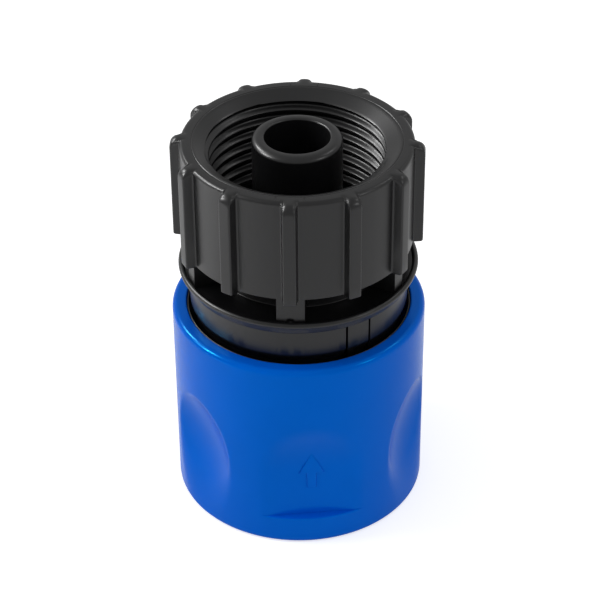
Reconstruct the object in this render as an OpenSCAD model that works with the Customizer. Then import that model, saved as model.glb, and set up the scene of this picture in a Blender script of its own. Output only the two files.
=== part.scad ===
// Garden hose quick connector, the half that stays on the hose.
// A black moulding carries a threaded socket round a smooth hose tail on top and, below,
// a barrel that takes the mating plug. A blue sleeve slides on the barrel. Lifting it towards
// the hose against a coil spring lets the locking claws move outwards and frees the plug.
// The connector stands on the sleeve. The arrow on the sleeve faces -Y, and +Z is up.
// Azimuths run from -Y towards +X.

/* [Release sleeve] */
// Height of the sleeve
sleeve_h = 32; // [30:0.5:38]
// Wall of the sleeve round the snap hooks
sleeve_wall = 1.65; // [1.5:0.05:3]
// Rounding of the sleeve's top outer edge
sleeve_top_round = 0.9; // [0.3:0.1:1.4]
// Rounding of the sleeve's bottom outer edge
sleeve_foot_round = 0.7; // [0.3:0.1:1.4]
// How far the sleeve's lip reaches in over the ring
sleeve_lip_w = 0.5; // [0.3:0.05:0.6]
// How far the sleeve lifts to release the plug
release_travel = 4; // [3:0.25:4.5]

/* [Grip recesses] */
// Number of recesses round the sleeve, where every third one carries an arrow
recess_count = 6; // [3:3:6]
// Height of the middle of the thumb scoops
scoop_z = 12.3; // [11:0.1:14]
// Radius of the ball that forms a scoop
scoop_ball_r = 19.5; // [14:0.5:26]
// Depth of a scoop in its middle
scoop_depth = 2.3; // [1:0.1:2.6]
// Depth of the flat arrow recess
arch_depth = 1.35; // [0.8:0.05:1.8]
// Height of the ledge under the arrow recess
arch_ledge_z = 4.6; // [3:0.1:6]
// Height at which the arrow recess starts to run out
arch_bend_z = 13; // [10:0.1:15]
// Height at which the arrow recess has run out
arch_top_z = 20.9; // [18:0.1:24]
// Height of the arrow's foot
arrow_foot_z = 9.7; // [8:0.1:11]
// Height of the raised arrow
arrow_h = 6.6; // [5:0.1:8]
// Width of the arrow's head
arrow_w = 3.8; // [3:0.1:5]
// Share of the arrow's height that its head takes
arrow_head_share = 0.59; // [0.4:0.01:0.7]
// Width of the arrow's shaft as a share of the head's
arrow_shaft_share = 0.39; // [0.25:0.01:0.5]
// How far the arrow stands out
arrow_proud = 0.25; // [0.15:0.05:0.5]

/* [Threaded socket] */
// Height of the socket wall
socket_h = 16.1; // [14:0.1:20]
// Wall of the socket behind the thread
socket_wall = 3.4; // [2.4:0.1:3.8]
// Thickness of the step under the thread
thread_step_t = 1.5; // [1:0.1:2.5]
// Width of the lead-in cone
lead_in_w = 1.5; // [0.5:0.1:1.8]
// Depth of the lead-in cone
lead_in_depth = 0.8; // [0.4:0.1:1.5]
// Rounding of the rim's outer edge
rim_round = 0.6; // [0.2:0.1:0.8]
// Number of grip ribs
rib_count = 12; // [6:1:16]
// Azimuth of the first rib
rib_phase = -9.5; // [-30:0.5:30]
// Rounding of the ribs' top ends
rib_top_round = 1; // [0.6:0.1:1.3]
// How far a rib stands out of the wall
rib_proud = 1.45; // [0.8:0.05:1.8]
// Width of a rib at the wall
rib_base_w = 2.3; // [2:0.1:3.6]
// Width of a rib on its outer face
rib_face_w = 2; // [1.2:0.1:2.8]

/* [Hose tail] */
// Radius of the water way
water_r = 4.7; // [4:0.1:5]
// Wall of the tail
tail_wall = 1.8; // [1.4:0.1:2.4]
// How far the tail stands above the rim
tail_proud = 0.6; // [0:0.1:3]
// Rounding of the tail's outer end
tail_round = 0.6; // [0.2:0.1:1]

/* [Neck and flange] */
// Height of the open window under the socket
window_h = 4.1; // [3:0.1:6]
// How far the neck lies inside the root of the thread
neck_step = 0.8; // [0.4:0.1:1]
// Wall of the neck
neck_wall = 1.7; // [1.2:0.1:2]
// Width of the front and back webs
web_wide = 4; // [3:0.1:5]
// Width of the side webs
web_narrow = 2.2; // [1.6:0.1:3]
// Angle from a wide web to the side webs next to it
web_side_angle = 63; // [55:1:70]
// How far the middle of the flange's bead stands out over the skirt
flange_w = 1.05; // [0.9:0.05:1.4]
// How far the flange's lower edge stands out over the skirt
flange_foot_w = 0.6; // [0.3:0.05:0.9]
// How far the webs stand back from the middle of the bead
web_inset = 0.4; // [0.3:0.05:0.8]
// Height of the flange's edge
flange_h = 1.7; // [1.2:0.1:2.5]
// Radius of the bead on the flange's edge
bead_r = 0.45; // [0.3:0.05:0.6]
// Spare room between the lifted sleeve and the flange
lift_gap = 1.3; // [0.8:0.1:2]
// How far the spring's pocket reaches below the flange's lower edge
pocket_drop = 1.3; // [0.8:0.1:2]
// Thickness of the floor between that pocket and the socket
floor_t = 2.2; // [1.5:0.1:2.5]

/* [Skirt] */
// Wall of the skirt
skirt_wall = 1.1; // [0.9:0.05:1.3]
// How far the skirt reaches below the hooks
skirt_reach = 0.25; // [0.1:0.05:0.5]
// How far below the sleeve's top the skirt starts to widen
taper_drop = 0.5; // [0:0.1:1]
// Height over which the skirt widens
taper_h = 1.5; // [1:0.1:3]
// Number of snap tabs
tab_count = 3; // [2:1:4]
// Azimuth of the first tab
tab_phase = 26.5; // [0:0.5:60]
// Angle of a tab
tab_angle = 13.7; // [10:0.1:18]
// Width of the slits beside a tab
slit_w = 0.35; // [0.3:0.05:0.8]
// How far below the flange the slits end
slit_stop = 0.4; // [0.2:0.1:1]
// How far a tab's hook reaches under the ring
hook_catch = 0.6; // [0.4:0.05:0.8]
// Height of a tab's hook
hook_h = 1.6; // [1.2:0.1:2]
// Height of the slope under the hook
hook_slope_h = 0.9; // [0.6:0.1:1.1]

/* [Sleeve ring] */
// Height of the ring's foot
ring_foot_h = 1.1; // [0.8:0.1:1.5]
// Thickness of the ring's thin edge
ring_edge_t = 0.27; // [0.2:0.01:0.35]
// How far the ring's edge lies below the sleeve's top
ring_sunk = 0.2; // [0.1:0.05:0.5]
// Height of the sleeve's lip over the ring's foot
sleeve_lip_h = 1; // [0.8:0.1:1.4]

/* [Plug barrel] */
// Radius of the bore that takes the plug
plug_r = 9.2; // [8.5:0.1:10.5]
// Wall of the barrel
barrel_wall = 3; // [2.6:0.1:3.6]
// Depth of that bore
plug_depth = 16.2; // [15:0.1:18]
// Step from that bore in to the seat for the plug's seal
seat_step = 1.5; // [1.2:0.1:2]
// Length of the seat
seat_len = 12; // [9:0.1:12.5]
// Height of the sleeve's collar round the barrel's end
collar_h = 1.6; // [1.2:0.1:2]
// Length of the sleeve's guide above the claws
guide_len = 2.5; // [2:0.1:3.5]
// How far the barrel's end lies inside the sleeve
mouth_sunk = 0.8; // [0.4:0.1:1.2]
// Width of the bevel at the mouth
mouth_bevel = 1; // [0.6:0.1:1.4]

/* [Locking claws] */
// Width of a claw
claw_w = 6; // [5:0.1:7]
// Height of a claw
claw_h = 4.3; // [3.6:0.1:4.6]
// How far the claws' tips reach into the bore
claw_reach = 1.2; // [0.8:0.05:1.4]
// How far a claw's foot stands back from the bore
claw_foot_w = 0.3; // [0.2:0.05:0.5]
// Height of a claw's straight tip
claw_tip_h = 1.6; // [1:0.1:2.2]
// How far a claw moves for each millimetre of sleeve travel
wedge_slope = 0.3125; // [0.3:0.0025:0.32]

/* [Spring] */
// Wire diameter of the spring
wire_d = 1.1; // [0.9:0.05:1.1]
// Turns of the spring
coil_turns = 7; // [5:1:9]
// Room in the sleeve round the spring
coil_room = 1.05; // [0.8:0.05:1.2]

/* [Clearances] */
// Radial gap between the barrel and the sleeve
slide_gap = 0.25; // [0.2:0.05:0.35]
// Radial gap between the barrel and the spring
coil_gap = 0.55; // [0.4:0.05:0.7]
// Radial gap between the spring and the skirt
pocket_gap = 0.35; // [0.25:0.05:0.5]
// Radial gap between the skirt's foot and the ring's foot
ring_gap = 0.9; // [0.6:0.05:1.1]
// Radial gap between a hook and the sleeve
hook_gap = 0.3; // [0.2:0.05:0.4]
// Radial gap between the skirt's upper part and the ring's foot
skirt_gap = 0.12; // [0.1:0.01:0.2]
// Gap between a claw and the sides of its window
window_gap = 0.2; // [0.15:0.05:0.3]
// Gap between a claw and the sleeve's cone
wedge_gap = 0.3; // [0.25:0.05:0.35]
// Axial room left at the ends of the sleeve's travel
end_gap = 0.4; // [0.3:0.05:0.6]
// Gap between pieces that are pressed or rest together
seat_gap = 0.05; // [0.03:0.01:0.1]

/* [Hidden] */
$fn = 96;

black = "#2b2b2d";
blue = "#0a5cc4";

// How far a raised shape is sunk into what carries it
sink = 0.3;
// How far a cut reaches past what it cuts
past = 1;

// Radii of the gate mark's hollow and nub, and the material left between them
gate_r = 0.45;
nub_r = 0.3;
gate_gap = 0.1;
// Height of a closed turn of the spring, in wire diameters
closed_turn = 1.03;

// Heights, from the floor up
claw_z = collar_h + release_travel + end_gap;
claw_top = claw_z + claw_h;
cone_top = claw_top + end_gap / 2;
ledge_z = cone_top + guide_len;
lip_z = sleeve_h - sleeve_lip_h;
ring_z = lip_z - seat_gap - ring_foot_h;
hook_top = ring_z - 2 * seat_gap;
hook_z = hook_top - hook_h;
skirt_z = hook_z - skirt_reach;
step_z = skirt_z - end_gap - release_travel;
taper_z = sleeve_h - taper_drop;
taper_top_z = taper_z + taper_h;
band_z = sleeve_h + release_travel + lift_gap;
flange_z = band_z + flange_h;
socket_z = flange_z + window_h;
rim_z = socket_z + socket_h;
tail_z = rim_z + tail_proud;
pocket_z = band_z - pocket_drop;
floor_z = pocket_z + floor_t;
slit_top = band_z - slit_stop;
thread_z = socket_z + thread_step_t;
seat_z = mouth_sunk + plug_depth;
seat_top = seat_z + seat_len;

// Radii, from the plug's bore outwards
barrel_r = plug_r + barrel_wall;
seat_r = plug_r - seat_step;
claw_tip_r = plug_r - claw_reach;
coil_r = barrel_r + coil_gap + wire_d / 2;
skirt_in_r = coil_r + wire_d / 2 + pocket_gap;
skirt_foot_r = skirt_in_r + skirt_wall;
ring_foot_r = skirt_foot_r + ring_gap;
hook_r = ring_foot_r + hook_catch;
ring_bore_r = hook_r + hook_gap;
sleeve_r = ring_bore_r + sleeve_wall;
sleeve_mouth_r = ring_bore_r - sleeve_lip_w;
skirt_top_r = ring_foot_r - skirt_gap;
flange_r = skirt_top_r + flange_w;
flange_foot_r = skirt_top_r + flange_foot_w;
socket_r = flange_r - web_inset;
thread_root_r = socket_r - socket_wall;
lead_in_r = thread_root_r + lead_in_w;
neck_r = thread_root_r - neck_step;
tail_r = water_r + tail_wall;

// Radii of the sleeve's inside and of the flat in the arrow recesses
guide_r = barrel_r + slide_gap;
cone_foot_r = guide_r + wedge_slope * (cone_top - collar_h);
spring_bore_r = coil_r + wire_d / 2 + coil_room;
arch_floor_r = sleeve_r - arch_depth;

// Radius of the sleeve's cone behind the claws, at height z
function cone_r(z) = guide_r + wedge_slope * (cone_top - z);

// Height along the spring: closed turns at both ends and open ones between
function coil_height(turn, low, high) =
    let (closed = wire_d * closed_turn,
         middle = (high - low - 2 * closed) / (coil_turns - 2))
    turn < 1 ? low + closed * turn
    : turn > coil_turns - 1 ? high - closed * (coil_turns - turn)
    : low + closed + middle * (turn - 1);

// Turns a child that lies along +X to an azimuth
module at_azimuth(azimuth) {
    rotate(azimuth - 90) children();
}

// The corner that a rounding of radius r takes off a square corner at the origin,
// where the material lies at negative x and negative y
module corner_cut(r) {
    difference() {
        translate([-r, -r]) square(r + past);
        translate([-r, -r]) circle(r);
    }
}

// A flat ring between two radii and two heights
module ring(inner, outer, low, high) {
    rotate_extrude() translate([inner, low]) square([outer - inner, high - low]);
}

module sleeve_outline() {
    difference() {
        square([sleeve_r, sleeve_h]);
        translate([sleeve_r, sleeve_h]) corner_cut(sleeve_top_round);
        translate([sleeve_r, 0]) mirror([0, 1]) corner_cut(sleeve_foot_round);
        polygon([[-past, -past], [guide_r, -past], [guide_r, collar_h], [cone_foot_r, collar_h],
                 [guide_r, cone_top], [guide_r, ledge_z], [spring_bore_r, ledge_z],
                 [spring_bore_r, step_z], [ring_bore_r, step_z], [ring_bore_r, lip_z],
                 [sleeve_mouth_r, lip_z], [sleeve_mouth_r, sleeve_h + past],
                 [-past, sleeve_h + past]]);
    }
}

// Thumb scoop, cut by a ball beside the sleeve
module scoop() {
    translate([sleeve_r - scoop_depth + scoop_ball_r, 0, scoop_z]) sphere(scoop_ball_r, $fn = 128);
}

// Arrow recess: a flat floor that ends in a ledge below and runs out in an arch above
module arch() {
    run = arch_top_z - arch_bend_z;
    bend_r = (run * run + arch_depth * arch_depth) / (2 * arch_depth);
    translate([arch_floor_r, -sleeve_r, arch_ledge_z])
        cube([sleeve_r, 2 * sleeve_r, arch_bend_z - arch_ledge_z]);
    intersection() {
        translate([arch_floor_r + bend_r, 0, arch_bend_z])
            rotate([90, 0, 0]) cylinder(r = bend_r, h = 2 * sleeve_r, center = true, $fn = 256);
        translate([arch_floor_r, -sleeve_r, arch_bend_z])
            cube([sleeve_r, 2 * sleeve_r, run + past]);
    }
}

module arrow() {
    head_h = arrow_h * arrow_head_share;
    shaft_w = arrow_w * arrow_shaft_share;
    translate([arch_floor_r - sink, 0, arrow_foot_z]) rotate([90, 0, 90])
        linear_extrude(sink + arrow_proud)
            polygon([[-shaft_w / 2, 0], [shaft_w / 2, 0], [shaft_w / 2, arrow_h - head_h],
                     [arrow_w / 2, arrow_h - head_h], [0, arrow_h],
                     [-arrow_w / 2, arrow_h - head_h], [-shaft_w / 2, arrow_h - head_h]]);
}

module sleeve() {
    pitch = 360 / recess_count;
    color(blue) {
        difference() {
            rotate_extrude() sleeve_outline();
            for (i = [0 : recess_count - 1]) at_azimuth(i * pitch)
                if (i % 3 == 0) arch(); else scoop();
        }
        for (i = [0 : 3 : recess_count - 1]) at_azimuth(i * pitch) arrow();
    }
}

// The ring in the sleeve's top that catches on the hooks of the tabs
module sleeve_ring() {
    edge_r = sleeve_mouth_r - seat_gap;
    color(black) {
        ring(ring_foot_r, ring_bore_r - seat_gap, ring_z, lip_z - seat_gap);
        ring(edge_r - ring_edge_t, edge_r, lip_z - 2 * seat_gap, sleeve_h - ring_sunk);
    }
}

// Outline of the moulding, without the room inside the socket and the water way
module body_outline() {
    difference() {
        polygon([[0, mouth_sunk], [barrel_r, mouth_sunk], [barrel_r, pocket_z],
                 [skirt_in_r, pocket_z], [skirt_in_r, skirt_z], [skirt_foot_r, skirt_z],
                 [skirt_foot_r, taper_z], [skirt_top_r, taper_top_z], [skirt_top_r, band_z],
                 [flange_foot_r, band_z], [flange_r, flange_z], [neck_r, flange_z], [neck_r, socket_z],
                 [socket_r, socket_z], [socket_r, rim_z], [0, rim_z]]);
        polygon([[tail_r, floor_z], [neck_r - neck_wall, floor_z], [neck_r - neck_wall, thread_z],
                 [thread_root_r, thread_z], [thread_root_r, rim_z - lead_in_depth],
                 [lead_in_r, rim_z], [lead_in_r, rim_z + past], [tail_r, rim_z + past]]);
        translate([socket_r, rim_z]) corner_cut(rim_round);
    }
    translate([flange_r, flange_z]) circle(bead_r);
}

// Stepped way through the barrel and the tail
module water_way() {
    passage_z = seat_top + seat_r - water_r;
    rotate_extrude()
        polygon([[0, 0], [plug_r + mouth_bevel + mouth_sunk, 0], [plug_r, mouth_sunk + mouth_bevel],
                 [plug_r, seat_z - (plug_r - seat_r)], [seat_r, seat_z], [seat_r, seat_top],
                 [water_r, passage_z], [water_r, tail_z + past], [0, tail_z + past]]);
}

module tail() {
    rotate_extrude() difference() {
        translate([0, floor_z - sink]) square([tail_r, tail_z - floor_z + sink]);
        translate([tail_r, tail_z]) corner_cut(tail_round);
    }
}

// Grip ribs on the socket, flush with the rim and rounded off at their top ends
module ribs() {
    rib_r = socket_r + rib_proud;
    root_r = socket_r - rim_round - sink;
    base_r = socket_r - sink / 2;
    intersection() {
        for (i = [0 : rib_count - 1]) at_azimuth(rib_phase + i * 360 / rib_count)
            translate([0, 0, socket_z]) linear_extrude(socket_h)
                polygon([[root_r, -rib_base_w / 2], [base_r, -rib_base_w / 2], [rib_r, -rib_face_w / 2],
                         [rib_r, rib_face_w / 2], [base_r, rib_base_w / 2], [root_r, rib_base_w / 2]]);
        rotate_extrude() difference() {
            translate([0, socket_z]) square([rib_r, socket_h]);
            translate([rib_r, rim_z]) corner_cut(rib_top_round);
        }
    }
}

// Webs that carry the socket on the flange, flush with the socket wall
module webs() {
    intersection() {
        for (side = [0, 180]) at_azimuth(rib_phase + side) {
            web(web_wide);
            for (turn = [-web_side_angle, web_side_angle]) rotate(turn) web(web_narrow);
        }
        ring(neck_r - sink, socket_r, flange_z - sink, socket_z + sink);
    }
}

module web(width) {
    translate([neck_r - past, -width / 2, flange_z - past])
        cube([socket_r - neck_r + 2 * past, width, window_h + 2 * past]);
}

// Hooks on the feet of the snap tabs
module hooks() {
    for (i = [0 : tab_count - 1])
        rotate([0, 0, tab_phase + i * 360 / tab_count - 90 - tab_angle / 2])
            rotate_extrude(angle = tab_angle)
                polygon([[skirt_foot_r - sink, hook_z], [skirt_foot_r, hook_z],
                         [hook_r, hook_z + hook_slope_h], [hook_r, hook_top],
                         [skirt_foot_r - sink, hook_top]]);
}

module slits() {
    for (i = [0 : tab_count - 1], side = [-1, 1])
        at_azimuth(tab_phase + i * 360 / tab_count + side * tab_angle / 2)
            translate([skirt_in_r - sink, -slit_w / 2, skirt_z - past])
                cube([hook_r - skirt_in_r + past, slit_w, slit_top - skirt_z + past]);
}

module claw_windows() {
    for (azimuth = [0 : 90 : 270]) at_azimuth(azimuth)
        translate([claw_tip_r, -claw_w / 2 - window_gap, claw_z - window_gap])
            cube([barrel_r - claw_tip_r + past, claw_w + 2 * window_gap, claw_h + 2 * window_gap]);
}

// Gate mark of the moulding: a hollow at the foot of the front web and a nub on the bead
module gate_hollow() {
    at_azimuth(rib_phase) translate([socket_r + gate_gap, 0, flange_z + bead_r + gate_r + gate_gap])
        sphere(gate_r, $fn = 48);
}

module gate_nub() {
    at_azimuth(rib_phase) translate([flange_r, 0, flange_z + bead_r]) sphere(nub_r, $fn = 48);
}

module body() {
    color(black) {
        difference() {
            union() {
                rotate_extrude() body_outline();
                tail();
                ribs();
                webs();
                hooks();
            }
            water_way();
            slits();
            claw_windows();
            gate_hollow();
        }
        gate_nub();
    }
}

// A locking claw: a straight tip above a sloped lead-in, and a wedge face that rides in the cone
module claw(azimuth) {
    color("#d8d8d4") intersection() {
        rotate_extrude()
            polygon([[claw_tip_r, claw_top - claw_tip_h], [plug_r + claw_foot_w, claw_z],
                     [cone_r(claw_z) - wedge_gap, claw_z], [cone_r(claw_top) - wedge_gap, claw_top],
                     [claw_tip_r, claw_top]]);
        at_azimuth(azimuth) translate([0, -claw_w / 2, claw_z - past])
            cube([sleeve_r, claw_w, claw_h + 2 * past]);
    }
}

// Coil spring between the sleeve's ledge and the roof of the skirt's pocket
module spring() {
    sides = 8;
    steps = 20;
    rings = coil_turns * steps;
    low = ledge_z + seat_gap + wire_d / 2;
    high = pocket_z - seat_gap - wire_d / 2;
    points = [for (i = [0 : rings], j = [0 : sides - 1])
        let (a = 360 * i / steps, b = 360 * j / sides, r = coil_r + wire_d / 2 * cos(b))
        [r * cos(a), r * sin(a), coil_height(i / steps, low, high) + wire_d / 2 * sin(b)]];
    walls = [for (i = [0 : rings - 1], j = [0 : sides - 1])
        let (k = (j + 1) % sides)
        [i * sides + j, (i + 1) * sides + j, (i + 1) * sides + k, i * sides + k]];
    first = [for (j = [0 : sides - 1]) j];
    last = [for (j = [0 : sides - 1]) rings * sides + sides - 1 - j];
    color("silver") polyhedron(points, concat(walls, [first, last]), convexity = 10);
}

body();
sleeve();
sleeve_ring();
spring();
claw(0);  // claw_front
claw(90);  // claw_right
claw(180);  // claw_back
claw(270);  // claw_left
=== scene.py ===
# %% [markdown]
# A garden hose quick connector, the half that stays on the hose.
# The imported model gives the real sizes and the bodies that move: a black moulding, a blue sleeve
# that slides on it with a thin ring in its top, four locking claws and a spring. This file dresses
# that model: each piece is built again with the soft edges, the thread and the fillets that a
# moulding has, and gets the finish of its plastic or steel.

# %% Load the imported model
import math

import bmesh
import bpy
import numpy as np
from mathutils import Matrix, Vector


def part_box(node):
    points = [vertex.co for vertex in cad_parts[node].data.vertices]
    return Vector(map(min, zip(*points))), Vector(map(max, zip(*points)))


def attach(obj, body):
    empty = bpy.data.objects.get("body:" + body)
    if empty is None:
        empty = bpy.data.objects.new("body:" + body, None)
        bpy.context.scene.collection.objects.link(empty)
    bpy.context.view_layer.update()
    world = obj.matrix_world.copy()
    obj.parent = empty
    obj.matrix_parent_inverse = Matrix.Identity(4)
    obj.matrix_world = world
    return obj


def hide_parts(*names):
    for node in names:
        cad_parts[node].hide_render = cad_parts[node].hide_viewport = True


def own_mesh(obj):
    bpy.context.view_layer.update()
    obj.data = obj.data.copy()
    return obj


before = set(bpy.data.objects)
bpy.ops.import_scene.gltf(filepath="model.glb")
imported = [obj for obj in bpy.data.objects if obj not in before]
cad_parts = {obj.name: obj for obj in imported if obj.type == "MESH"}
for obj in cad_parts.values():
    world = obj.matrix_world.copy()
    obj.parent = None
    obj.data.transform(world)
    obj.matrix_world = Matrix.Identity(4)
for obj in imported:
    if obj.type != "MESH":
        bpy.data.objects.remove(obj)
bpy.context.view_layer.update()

print("CAD nodes:", sorted(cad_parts))

# %% [markdown]
# The camera comes first. A product photographer would use a long lens from about 0.3 m away,
# looking down on the connector. The values below are those at which the rims and edges of the
# model fall on those of the photograph. The camera circles a point on the connector's axis and
# aims a little above it. Its place is given as an azimuth from -Y towards +X, like every angle in
# this file.

# %% Camera
MM = 0.001
CAMERA_AZIMUTH = -5.5
CAMERA_DISTANCE = 324.7 * MM
CAMERA_ELEVATION = 35.7
CAMERA_PIVOT_Z = 30.0 * MM
CAMERA_AIM_Z = 31.3 * MM
CAMERA_AIM_SIDE = 0.2 * MM
CAMERA_ROLL = -0.5
SENSOR_WIDTH = 36.0
LENS = 130.67


def on_circle(radius, azimuth, z):
    """The point at a radius, an azimuth in degrees and a height."""
    angle = math.radians(azimuth)
    return Vector((radius * math.sin(angle), -radius * math.cos(angle), z))


def make_camera():
    data = bpy.data.cameras.new("camera")
    data.lens = LENS
    data.sensor_width = SENSOR_WIDTH
    camera = bpy.data.objects.new("camera", data)
    bpy.context.scene.collection.objects.link(camera)
    rise = math.radians(CAMERA_ELEVATION)
    place = on_circle(CAMERA_DISTANCE * math.cos(rise), CAMERA_AZIMUTH,
                      CAMERA_PIVOT_Z + CAMERA_DISTANCE * math.sin(rise))
    aim = on_circle(CAMERA_AIM_SIDE, CAMERA_AZIMUTH + 90, CAMERA_AIM_Z)
    view = (aim - place).to_track_quat("-Z", "Y")
    turn = Matrix.Rotation(math.radians(CAMERA_ROLL), 4, "Z")
    camera.matrix_world = Matrix.Translation(place) @ view.to_matrix().to_4x4() @ turn
    bpy.context.scene.camera = camera
    return camera


camera = make_camera()
print("camera at", [round(c, 4) for c in camera.matrix_world.translation])

# %% [markdown]
# Almost every surface of this object was turned or moulded round one axis. So each piece is a
# lathe form: a closed outline of radius and height that runs round the axis, as rings of points.
# A subdivision surface or a boolean could make the same forms, but rings let an edge, a rib or a
# thread turn be put exactly where it is wanted, with no loose triangles beside it.
# The outlines are made of arcs and straight lines. Where two surfaces cross, a smooth minimum or
# maximum takes the sharpness off their common edge, as the mould does.

# %% Points on arcs and lines, and softened edges
def arc(centre_r, centre_z, radius, start, end, steps):
    """Points (r, z) on an arc, with 0 degrees outwards and 90 degrees up."""
    angles = np.radians(np.linspace(start, end, steps + 1))
    return [(centre_r + radius * math.cos(a), centre_z + radius * math.sin(a)) for a in angles]


def line(r0, z0, r1, z1, steps):
    """Points (r, z) on a straight line, both ends included."""
    return [(r0 + (r1 - r0) * i / steps, z0 + (z1 - z0) * i / steps) for i in range(steps + 1)]


def smooth_min(a, b, reach):
    """The smaller of two numbers, rounded off where they differ by less than reach."""
    h = max(reach - abs(a - b), 0.0) / reach
    return min(a, b) - h * h * reach / 4


def smooth_max(a, b, reach):
    """The larger of two numbers, rounded off in the same way."""
    return -smooth_min(-a, -b, reach)


print("smooth minimum of 1 and 1, reach 0.2:", smooth_min(1.0, 1.0, 0.2))

# %% [markdown]
# A shell collects the rings of one piece and sews each to the next. Rings next to each other may
# have different numbers of points, so that fine ribs outside don't force as many points on the
# plain water way inside. Such a pair is stitched with triangles, always to the nearer next point.
# Edges that bend by more than 50 degrees stay sharp, and the rest is shaded smooth.

# %% Shell of rings
SHARP_ANGLE = 50.0
MERGE_REACH = 0.002 * MM
SHORTEST_EDGE = 0.001 * MM


class Shell:
    """Collects rings of points, in millimetres, and the faces between them."""

    def __init__(self):
        self.points = []
        self.faces = []

    def ring(self, points):
        start = len(self.points)
        self.points.extend(points)
        return list(range(start, len(self.points)))

    def turn(self, outline, turns):
        """One plain ring for each point (r, z) of an outline, with a point at each turn."""
        return [self.ring([tuple(on_circle(r, a, z)) for a in turns]) for r, z in outline]

    def azimuth(self, index):
        x, y, _ = self.points[index]
        return math.degrees(math.atan2(x, -y)) % 360.0

    def sew(self, a, b, skip=()):
        """Faces between two closed rings. Columns in skip stay open."""
        if len(a) != len(b):
            self.stitch(a, b)
            return
        for i in range(len(a)):
            k = (i + 1) % len(a)
            if i not in skip:
                self.faces.append((a[i], a[k], b[k], b[i]))

    def stitch(self, a, b):
        """Triangles between two closed rings with different numbers of points."""
        turn_a = [self.azimuth(i) for i in a]
        turn_b = [self.azimuth(i) for i in b]
        i = j = 0
        while i < len(a) or j < len(b):
            next_a = turn_a[i + 1] if i + 1 < len(a) else 360.0 + turn_a[0]
            next_b = turn_b[j + 1] if j + 1 < len(b) else 360.0 + turn_b[0]
            p, q = a[i % len(a)], b[j % len(b)]
            if i < len(a) and (next_a <= next_b or j >= len(b)):
                self.faces.append((p, a[(i + 1) % len(a)], q))
                i += 1
            else:
                self.faces.append((p, b[(j + 1) % len(b)], q))
                j += 1

    def rows(self, rings):
        for a, b in zip(rings, rings[1:]):
            self.sew(a, b)

    def mesh(self, name):
        mesh = bpy.data.meshes.new(name)
        mesh.from_pydata([(x * MM, y * MM, z * MM) for x, y, z in self.points], [], self.faces)
        work = bmesh.new()
        work.from_mesh(mesh)
        bmesh.ops.remove_doubles(work, verts=work.verts, dist=MERGE_REACH)
        bmesh.ops.dissolve_degenerate(work, edges=work.edges, dist=SHORTEST_EDGE)
        bmesh.ops.recalc_face_normals(work, faces=work.faces)
        open_edges = sum(1 for e in work.edges if not e.is_manifold)
        work.to_mesh(mesh)
        work.free()
        mesh.shade_smooth()
        mesh.set_sharp_from_angle(angle=math.radians(SHARP_ANGLE))
        triangles = sum(len(p.vertices) - 2 for p in mesh.polygons)
        print(f"{name}: {triangles} triangles, {open_edges} open edges")
        return mesh


def even_turns(count):
    """Azimuths of the points in a plain ring."""
    return [360 * i / count for i in range(count)]


print("a plain ring of 4 points stands at", even_turns(4))

# %% [markdown]
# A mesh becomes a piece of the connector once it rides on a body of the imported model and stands
# for the CAD nodes there. When the joint moves that body, the piece goes with it.
# Large flats beside small rounded edges would look slightly bulged if each face had the same say
# in the shading. A weighted normal modifier gives the large faces more say.

# %% Place a mesh as a piece
FLAT_WEIGHT = 60


def place_piece(name, mesh, body, nodes):
    """Puts a mesh into the scene as a piece that rides on a body and stands for CAD nodes."""
    piece = bpy.data.objects.new(name, mesh)
    bpy.context.scene.collection.objects.link(piece)
    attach(piece, body)
    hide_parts(*nodes)
    return piece


def even_normals(piece):
    """Lets large faces set the shading, so that flats stay flat beside their rounded edges."""
    weighted = piece.modifiers.new("even normals", "WEIGHTED_NORMAL")
    weighted.keep_sharp = True
    weighted.weight = FLAT_WEIGHT


print("weight of large faces:", FLAT_WEIGHT)

# %% [markdown]
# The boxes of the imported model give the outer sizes. The radii are found inwards and outwards from
# the sleeve, by the walls and gaps of the moulding, and the heights downwards from the hose tail.
# All of them are in millimetres.

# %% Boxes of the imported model
body_low, body_high = (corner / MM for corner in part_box("body"))
_, sleeve_high = (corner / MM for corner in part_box("sleeve"))
ring_low, ring_high = (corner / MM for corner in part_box("sleeve_ring"))
spring_low, spring_high = (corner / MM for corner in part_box("spring"))
claw_low, claw_high = (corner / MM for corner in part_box("claw_front"))
print(f"body {body_high.z:.2f} mm high, sleeve {2 * sleeve_high.x:.2f} mm across")

# %% Radii
SLEEVE_WALL = 1.65
SLEEVE_LIP_W = 0.5
HOOK_GAP = 0.3
HOOK_CATCH = 0.6
RING_GAP = 0.9
SKIRT_WALL = 1.1
SKIRT_GAP = 0.12
FLANGE_FOOT_W = 0.6
FLANGE_W = 1.05
BEAD_R = 0.45
WEB_INSET = 0.4
SOCKET_WALL = 3.4
LEAD_IN_W = 1.5
NECK_STEP = 0.8
NECK_WALL = 1.7

SLEEVE_R = sleeve_high.x
RING_BORE_R = SLEEVE_R - SLEEVE_WALL
SLEEVE_MOUTH_R = RING_BORE_R - SLEEVE_LIP_W
HOOK_R = RING_BORE_R - HOOK_GAP
RING_FOOT_R = HOOK_R - HOOK_CATCH
SKIRT_FOOT_R = RING_FOOT_R - RING_GAP
SKIRT_IN_R = SKIRT_FOOT_R - SKIRT_WALL
SKIRT_TOP_R = RING_FOOT_R - SKIRT_GAP
FLANGE_FOOT_R = SKIRT_TOP_R + FLANGE_FOOT_W
FLANGE_R = SKIRT_TOP_R + FLANGE_W
SOCKET_R = FLANGE_R - WEB_INSET
THREAD_ROOT_R = SOCKET_R - SOCKET_WALL
LEAD_IN_R = THREAD_ROOT_R + LEAD_IN_W
NECK_R = THREAD_ROOT_R - NECK_STEP
NECK_IN_R = NECK_R - NECK_WALL
print(f"flange radius {FLANGE_R:.2f} mm, socket radius {SOCKET_R:.2f} mm")

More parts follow.
